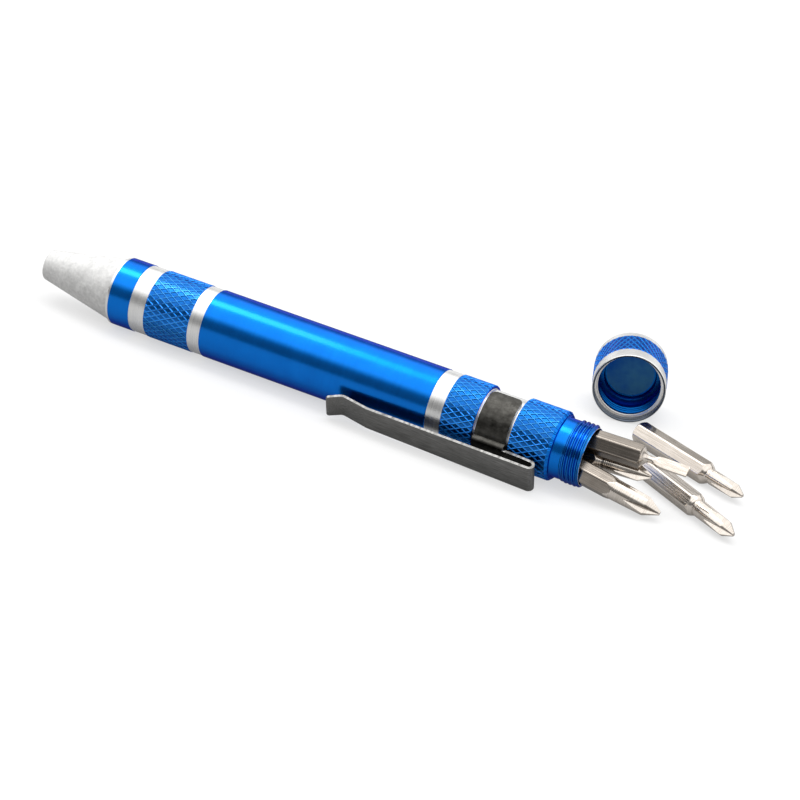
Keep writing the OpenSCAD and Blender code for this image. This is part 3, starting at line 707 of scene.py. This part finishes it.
bit = {"flats": 4.0, "length": 26.5, "chamfer": 0.35, "cornerRound": 0.06, "shoulder": 1.6, "rodStart": 0.4,
       "backStops": [0.12, 0.24, 0.36], "flatStart": 0.5, "flatEnd": 0.3, "flatStep": 2.0,
       "coneStart": 0.2, "coneStep": 0.08, "turnedStep": 0.06, "tipStep": 0.12,
       "paintFrom": 0.25, "paintShare": 0.995, "sharp": 30, "count": 96}
cross = {"flute": 7.0, "fluteHalf": 46.0, "webShare": 0.09, "taper": 0.92, "pointRadius": 0.35,
         "pointAngle": 27.0, "grooveHalf": 0.2, "ridgeFade": 0.3, "ridgePitch": 0.36, "deepen": 1.25,
         "leastEdge": 2.5, "settle": 0.8, "edgeSteps": 4, "fluteGap": 0.08, "endGap": 0.02}
bitCorner = bit["flats"] / 2 / cos(pi / 6)  # from the axis to a corner of the hex
slack = 2.9906  # room in the bore beside a bit
stout = {"hex": 15.8, "rod": 1.95, "neck": 1.0, "grooves": [], "ridges": (0.9, 3.4), "ridge": 0.035}
ridged = {"hex": 15.8, "rod": 1.6, "neck": 0.92, "grooves": [], "ridges": (0.5, 4.2), "ridge": 0.05}
collared = {"hex": 15.1, "rod": 1.6, "neck": 0.92, "grooves": [(1.3, 0.16), (1.85, 0.12)],
            "ridges": (2.1, 3.0), "ridge": 0.012}
slim = {"hex": 17.0, "rod": 1.45, "neck": 0.92, "grooves": [(1.3, 0.15), (1.85, 0.1)],
        "ridges": (2.1, 2.6), "ridge": 0.012}


# where the middle of each bit's back lies, and its yaw, pitch and roll in degrees
mouthX = barrel["mouth"]
tableBit = -barrel["radius"] + bit["flats"] / 2
storedDepth = 28  # from the mouth to the tips of the stored bits
storedX = mouthX - storedDepth - bit["length"]
bitPlaces = {
    "slottedBit": ((mouthX - 9.2, 0.33 * slack, 0.835 * slack), (2.4, 0.3, 38)),
    "crossBitWide": ((mouthX - 11, -0.675 * slack, -0.175 * slack), (0, -9.4, -9)),
    "crossBitMiddle": ((mouthX - 15.7, 0.72 * slack, -0.62 * slack), (1.8, 1.6, -22)),
    "crossBitFront": ((mouthX + 6, 13.2, tableBit), (-31.8, 0, 30)),
    "crossBitRear": ((mouthX + 0.5, 25.5, tableBit), (-23.9, 0, 30)),
    "storedSlottedBit": ((storedX, -0.79 * slack, -0.46 * slack), (0, 0, 0)),
    "storedCrossBit": ((storedX, 0.79 * slack, -0.46 * slack), (0, 0, 0)),
    "storedStarBit": ((storedX, 0, 0.92 * slack), (0, 0, 0)),
}


def bitPlace(name):
    back, (yaw, pitch, roll) = bitPlaces[name]
    return (Matrix.Translation(back) @ Matrix.Rotation(radians(yaw), 4, "Z")
            @ Matrix.Rotation(radians(-pitch), 4, "Y") @ Matrix.Rotation(radians(roll), 4, "X"))


def alongProfile(points, x):
    for (x0, r0), (x1, r1) in zip(points, points[1:]):
        if x0 <= x <= x1:
            return r0 + (r1 - r0) * (x - x0) / (x1 - x0)
    return points[-1][1]


def hexStations(hexLen, cone):
    # the hex from its chamfered back to its shoulder, where the cone cuts it

    def stock(x):
        most = min(bitCorner - bit["cornerRound"], bitCorner - bit["chamfer"] + x, cone(x))
        return lambda a: min(hexReach(bit["flats"], a), most)

    places = (bit["backStops"] + spread(bit["flatStart"], hexLen - bit["flatEnd"], bit["flatStep"])
              + spread(hexLen - bit["coneStart"], hexLen + bit["shoulder"], bit["coneStep"]))
    return [(0, 0), (0, stock(0))] + [(x, stock(x)) for x in places]


def turnedRadius(kind, x):
    # radius of the turned part of a cross bit, with its grooves and tool marks
    hexLen, rod = kind["hex"], kind["rod"]
    neckX, end = hexLen + bit["shoulder"], rod * cross["taper"]
    pointX = bit["length"] - (end - cross["pointRadius"]) / tan(radians(cross["pointAngle"]))
    r = alongProfile([(0, bitCorner), (hexLen, bitCorner),
                      (neckX, rod * kind["neck"]), (neckX + bit["rodStart"], rod),
                      (pointX, end), (bit["length"], cross["pointRadius"])], x)
    for at, depth in kind["grooves"]:
        r -= depth * max(0.0, 1 - abs(x - hexLen - at) / cross["grooveHalf"])
    start, stop = kind["ridges"]
    within = min(x - hexLen - start, hexLen + stop - x) / cross["ridgeFade"]
    fade = max(0.0, min(1.0, within))
    return r - kind["ridge"] * fade * (0.5 + 0.5 * cos(tau * x / cross["ridgePitch"]))


def fluteRing(kind, x, turn):
    # a ring that follows the edges and the bottom of its four flutes, which deepen towards the point
    r, web = turnedRadius(kind, x), 2 * kind["rod"] * cross["webShare"]
    along = max(0.0, (bit["length"] - x) / cross["flute"])
    apex = web + (kind["rod"] - web) * along ** cross["deepen"]
    half = radians(cross["fluteHalf"])
    opening = acos(min(1.0, apex * sin(half) / r)) + half - pi / 2 if apex < r else 0.0
    edge = max(opening, radians(cross["leastEdge"]))
    quarter, step, steps = bit["count"] // 4, tau / bit["count"], cross["edgeSteps"]
    begin = round(turn / step)
    settle = max(0.0, min(1.0, (x - kind["hex"] - bit["shoulder"]) / cross["settle"]))
    ring = []
    for i in range(bit["count"]):
        off = (i - begin + quarter // 2 - 1) % quarter - quarter // 2 + 1
        side, m = (1 if off > 0 else -1), abs(off)
        middle = turn + round((i - begin - off) / quarter) * pi / 2
        if m <= steps:
            a, inward = edge * m / steps, opening > 0
        else:
            a, inward = edge + (pi / 4 - edge) * (m - steps) / (quarter / 2 - steps), False
        if inward:
            p, q = apex + (r * cos(edge) - apex) * m / steps, side * r * sin(edge) * m / steps
        else:
            even = ((i * step - middle + pi) % tau) - pi
            a = even + (side * a - even) * settle
            p, q = r * cos(a), r * sin(a)
        ring.append((p * cos(middle) - q * sin(middle), p * sin(middle) + q * cos(middle)))
    return ring


def crossBit(name, body, kind, turn, flat="bitFlat"):
    bm = bmesh.new()
    stations = hexStations(kind["hex"], lambda x: turnedRadius(kind, x))
    neckX, fluteX = kind["hex"] + bit["shoulder"], bit["length"] - cross["flute"]
    places = (spread(neckX + bit["turnedStep"], fluteX, bit["turnedStep"])
              + spread(fluteX + cross["fluteGap"], bit["length"] - cross["endGap"], bit["tipStep"])
              + [bit["length"]])
    stations += [(x, fluteRing(kind, x, radians(turn))) for x in places] + [(bit["length"], 0)]
    loftRings(bm, stations, bit["count"])

    def isTurned(at):
        flatAway = hexReach(bit["flats"], atan2(at.z, at.y))
        return at.x > kind["hex"] + bit["paintFrom"] and fromAxis(at) < bit["paintShare"] * flatAway

    bitLooks = [flat, "bitTurned"]
    paintFaces(bm, bitLooks.index("bitTurned"), isTurned)
    finishPiece(bm, name, body, bitLooks, place=bitPlace(name), node=body, sharp=bit["sharp"])


blade = {"hex": 17.7, "neck": 0.6, "root": 0.36, "length": 6.1, "spread": 0.4, "edge": 0.5, "flatten": 1.1,
         "swell": 2.4, "settle": 0.5, "edgeSteps": 4, "hollow": 1.7, "roundLength": 0.8, "sharp": 28}


def bladeRing(b, x, width):
    # a ring that goes from the round neck to the flat blade and keeps to its four corners
    begin = bit["length"] - b["length"]
    rootX, wideX = begin - b["neck"], begin + b["length"] * b["spread"]
    grown = max(0.0, min(1.0, (x - rootX) / (wideX - rootX)))
    flat = max(0.0, min(1.0, (x - rootX) / b["flatten"]))
    neck = b["neck"]
    half = neck + (width / 2 - neck) * (1 - (1 - grown) ** b["swell"])
    thick = alongProfile([(0, neck), (rootX, neck), (wideX, b["root"]), (bit["length"], b["edge"] / 2)], x)
    corner, quarter, steps = atan2(thick, half), bit["count"] // 4, b["edgeSteps"]
    settle = max(0.0, min(1.0, (x - b["hex"] - bit["shoulder"]) / b["settle"]))
    ring = []
    for i in range(bit["count"]):
        turnNo, m = divmod(i, quarter)
        m = m if turnNo % 2 == 0 else quarter - m
        if m <= steps:
            a, box = corner * m / steps, (half, thick * m / steps)
        else:
            a = corner + (pi / 2 - corner) * (m - steps) / (quarter - steps)
            box = (half * (quarter - m) / (quarter - steps), thick)
        even = pi / 2 * m / quarter
        a = even + (a - even) * settle
        y = neck * cos(a) + (box[0] - neck * cos(a)) * flat
        z = neck * sin(a) + (box[1] - neck * sin(a)) * flat
        ring.append((-y if turnNo in (1, 2) else y, -z if turnNo in (2, 3) else z))
    return ring


def slottedBit(name, body, width, flat="bitFlat"):
    b = blade
    bm = bmesh.new()

    def hollow(x):
        left = max(0.0, 1 - max(0.0, x - b["hex"]) / bit["shoulder"])
        return b["neck"] + (bitCorner - b["neck"]) * left ** b["hollow"]

    neckX = b["hex"] + bit["shoulder"]
    places = spread(neckX + bit["turnedStep"], bit["length"], bit["tipStep"])
    stations = hexStations(b["hex"], hollow) + [(x, bladeRing(b, x, width)) for x in places]
    loftRings(bm, stations + [(bit["length"], 0)], bit["count"])
    # a bit with painted shade on its hex still has a bright blade, so the blade has a slot of its own
    neckPart, bladePart = 1, 2
    bladeX = neckX + b["roundLength"]
    paintFaces(bm, neckPart, lambda at: b["hex"] + bit["paintFrom"] < at.x < bladeX)
    paintFaces(bm, bladePart, lambda at: at.x >= bladeX)
    bitLooks = [flat, "bitTurned", "bitFlat"]
    finishPiece(bm, name, body, bitLooks, place=bitPlace(name), node=body, sharp=b["sharp"])


star = {"hex": 17.0, "tip": 0.95, "length": 3.0, "root": 1.748, "lobe": 0.34, "gap": 0.05, "lobeGap": 0.02,
        "endLength": 0.15, "endDrop": 0.12, "sharp": 28}


def starBit(name, body):
    s = star
    bm = bmesh.new()
    starX, neckX = bit["length"] - s["length"], s["hex"] + bit["shoulder"]

    def lobes(a):
        off = abs(a % (pi / 3) - pi / 6)
        cut = s["lobe"] ** 2 - (s["tip"] * sin(off)) ** 2
        return s["tip"] * cos(off) - sqrt(cut) if cut > 0 else s["tip"]

    def cone(x):
        return bitCorner + (s["root"] - bitCorner) * max(0.0, x - s["hex"]) / bit["shoulder"]

    rod = [(0, s["root"]), (starX - bit["shoulder"], s["root"]), (starX, s["tip"])]
    stations = hexStations(s["hex"], cone)
    stations += [(x, alongProfile(rod, x)) for x in spread(neckX + s["gap"], starX, bit["tipStep"])]
    stations += [(starX + s["lobeGap"], lobes), (bit["length"] - s["endLength"], lobes),
                 (bit["length"], lambda a: lobes(a) - s["endDrop"]), (bit["length"], 0)]
    loftRings(bm, stations, bit["count"])
    bitLooks = ["bitFlat", "bitTurned"]
    paintFaces(bm, bitLooks.index("bitTurned"), lambda at: at.x > s["hex"] + bit["paintFrom"])
    finishPiece(bm, name, body, bitLooks, place=bitPlace(name), node=body, sharp=s["sharp"])


# the two bits in the mouth take the darker plating on their hex: painted shade
slottedBit("slottedBit", "slotted_bit", width=2.0, flat="bitShaded")
crossBit("crossBitWide", "cross_bit_wide", stout, turn=7, flat="bitShaded")
crossBit("crossBitMiddle", "cross_bit_mid", ridged, turn=30)
crossBit("crossBitFront", "cross_bit_front", collared, turn=67, flat="bitBrushed")
crossBit("crossBitRear", "cross_bit_rear", slim, turn=71)
slottedBit("storedSlottedBit", "stored_slotted_bit", width=3.0)
crossBit("storedCrossBit", "stored_cross_bit", slim, turn=45)
starBit("storedStarBit", "stored_star_bit")
print("bits made")


# table, light and camera

studio = {"table": -6.5, "tableSize": 6.0, "tableGrey": 0.3, "tableRough": 0.9, "tableShine": 0.1,
          "tableGlow": 0.6, "glossGlow": 0.18, "sky": 1.6, "rightShare": 0.85, "rightEnd": 0.7,
          "walls": [(0, 0.75), (13, 0.7), (20, 0.34), (30, 0.28), (38, 0.88), (47, 1.0), (72, 1.0),
                    (108, 1.0), (121, 0.95), (136, 0.95), (144, 0.45), (151, 0.15), (166, 0.14), (180, 0.11)],
          "lampTilt": (-6, 0, 90),
          "lamps": {"leftLamp": {"power": 1.2, "size": (0.22, 0.4), "at": (-0.375, 0.045, 0.62)},
                    "rightLamp": {"power": 0.83, "size": (0.22, 0.36), "at": (0.12, 0.045, 0.62)}}}

bm = bmesh.new()
bmesh.ops.create_grid(bm, x_segments=1, y_segments=1, size=studio["tableSize"] / 2)
bmesh.ops.translate(bm, vec=(0, 0, studio["table"] * mm), verts=bm.verts[:])
mesh = bpy.data.meshes.new("table")
bm.to_mesh(mesh)
bm.free()
table = bpy.data.objects.new("table", mesh)
bpy.context.scene.collection.objects.link(table)
mat, nodes, links, shader = newMaterial("paleTable")
shader.inputs["Base Color"].default_value = (studio["tableGrey"],) * 3 + (1,)
shader.inputs["Roughness"].default_value = studio["tableRough"]
shader.inputs["Specular IOR Level"].default_value = studio["tableShine"]
shader.inputs["Emission Color"].default_value = (1, 1, 1, 1)
rays = nodes.new("ShaderNodeLightPath")
mirrored = nodes.new("ShaderNodeMath")  # metal and glass show the pale table too
mirrored.operation = "MAXIMUM"
links.new(rays.outputs["Is Glossy Ray"], mirrored.inputs[0])
links.new(rays.outputs["Is Transmission Ray"], mirrored.inputs[1])
lower = nodes.new("ShaderNodeMath")
lower.operation = "MULTIPLY"
links.new(mirrored.outputs[0], lower.inputs[0])
lower.inputs[1].default_value = studio["glossGlow"]
glow = nodes.new("ShaderNodeMath")
glow.operation = "MULTIPLY_ADD"
links.new(rays.outputs["Is Camera Ray"], glow.inputs[0])
glow.inputs[1].default_value = studio["tableGlow"]
links.new(lower.outputs[0], glow.inputs[2])
links.new(glow.outputs[0], shader.inputs["Emission Strength"])
mesh.materials.append(mat)

world = bpy.data.worlds.new("studio")
bpy.context.scene.world = world
world.use_nodes = True
nodes, links = world.node_tree.nodes, world.node_tree.links
coords = nodes.new("ShaderNodeTexCoord")
parts = nodes.new("ShaderNodeSeparateXYZ")
links.new(coords.outputs["Generated"], parts.inputs["Vector"])
# the walls' light runs from the horizon behind the object, over the top, to the horizon in front
angle = nodes.new("ShaderNodeMath")
angle.operation = "ARCTAN2"
links.new(parts.outputs["Z"], angle.inputs[0])
links.new(parts.outputs["Y"], angle.inputs[1])
share = nodes.new("ShaderNodeMath")
share.operation = "DIVIDE"
links.new(angle.outputs[0], share.inputs[0])
share.inputs[1].default_value = pi
walls = nodes.new("ShaderNodeValToRGB")
stops = walls.color_ramp.elements
while len(stops) < len(studio["walls"]):
    stops.new(0.5)
for stop, (degrees, level) in zip(stops, studio["walls"]):
    stop.position = degrees / 180
    stop.color = (level, level, level, 1)
links.new(share.outputs[0], walls.inputs["Fac"])
links.new(walls.outputs["Color"], nodes["Background"].inputs["Color"])
fall = nodes.new("ShaderNodeMapRange")  # less light from the right
fall.interpolation_type = "SMOOTHSTEP"
fall.inputs["From Min"].default_value = 0.0
fall.inputs["From Max"].default_value = studio["rightEnd"]
fall.inputs["To Min"].default_value = studio["sky"]
fall.inputs["To Max"].default_value = studio["sky"] * studio["rightShare"]
links.new(parts.outputs["X"], fall.inputs["Value"])
links.new(fall.outputs["Result"], nodes["Background"].inputs["Strength"])

# the gap between the lamps lets the streak on the barrel fade towards the clip
for name, panel in studio["lamps"].items():
    lampData = bpy.data.lights.new(name, "AREA")
    lampData.shape = "RECTANGLE"
    lampData.size, lampData.size_y = panel["size"]
    lampData.energy = panel["power"]
    lamp = bpy.data.objects.new(name, lampData)
    lamp.location = panel["at"]
    lamp.rotation_euler = [radians(a) for a in studio["lampTilt"]]
    bpy.context.scene.collection.objects.link(lamp)

view = {"at": (251.285, -458.136, 230.625), "right": (0.89031, 0.42557, 0.16196),
        "up": (-0.31879, 0.32859, 0.88905), "back": (0.32514, -0.84316, 0.42821),
        "lens": 135.0, "sensor": 36.0, "nearest": 0.01}
camData = bpy.data.cameras.new("camera")
camData.lens = view["lens"]
camData.sensor_width = view["sensor"]
camData.clip_start = view["nearest"]
camera = bpy.data.objects.new("camera", camData)
axes = Matrix((view["right"], view["up"], view["back"])).transposed()
camera.matrix_world = Matrix.Translation(Vector(view["at"]) * mm) @ axes.to_4x4()
bpy.context.scene.collection.objects.link(camera)
bpy.context.scene.camera = camera
bpy.context.scene.view_settings.view_transform = "Standard"
print("studio set")
